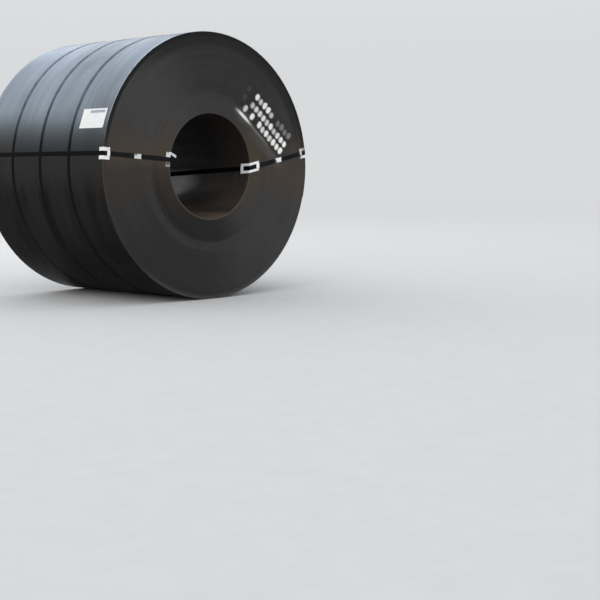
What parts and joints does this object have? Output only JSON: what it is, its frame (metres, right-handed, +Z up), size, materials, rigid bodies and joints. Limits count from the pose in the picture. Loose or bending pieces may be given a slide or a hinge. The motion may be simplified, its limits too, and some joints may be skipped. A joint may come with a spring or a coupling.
{
  "type": "steel coil",
  "caption": "Hot rolled steel strip wound into a heavy coil lying on its side, bound with steel straps round its rim and through its eye over galvanised corner protectors.",
  "frame": {"origin": "on the floor below the middle of the coil, at the bottom centre of its bounding box", "axes": "+Z up, the coil's eye along Y with its front face towards -Y, +X to the right seen from the front"},
  "size_m": [1.9326, 1.5107, 1.9315],
  "materials": {
    "hot_rolled_strip": "matte",
    "strapping": "satin",
    "galvanised_protector": "satin",
    "strap_seal": "satin",
    "label_paper": "matte"
  },
  "bodies": {
    "root": {"coil": "hot_rolled_strip", "band_strap_front": "strapping", "band_seal_front": "strap_seal", "band_strap_middle": "strapping", "band_seal_middle": "strap_seal", "band_strap_rear": "strapping", "band_seal_rear": "strap_seal", "eye_strap_left": "strapping", "eye_seal_left": "strap_seal", "corner_protector_left_front_outer": "galvanised_protector", "corner_protector_left_front_bore": "galvanised_protector", "corner_protector_left_rear_outer": "galvanised_protector", "corner_protector_left_rear_bore": "galvanised_protector", "eye_strap_right": "strapping", "eye_seal_right": "strap_seal", "corner_protector_right_front_outer": "galvanised_protector", "corner_protector_right_front_bore": "galvanised_protector", "corner_protector_right_rear_outer": "galvanised_protector", "corner_protector_right_rear_bore": "galvanised_protector", "label": "label_paper"}
  },
  "joints": []
}
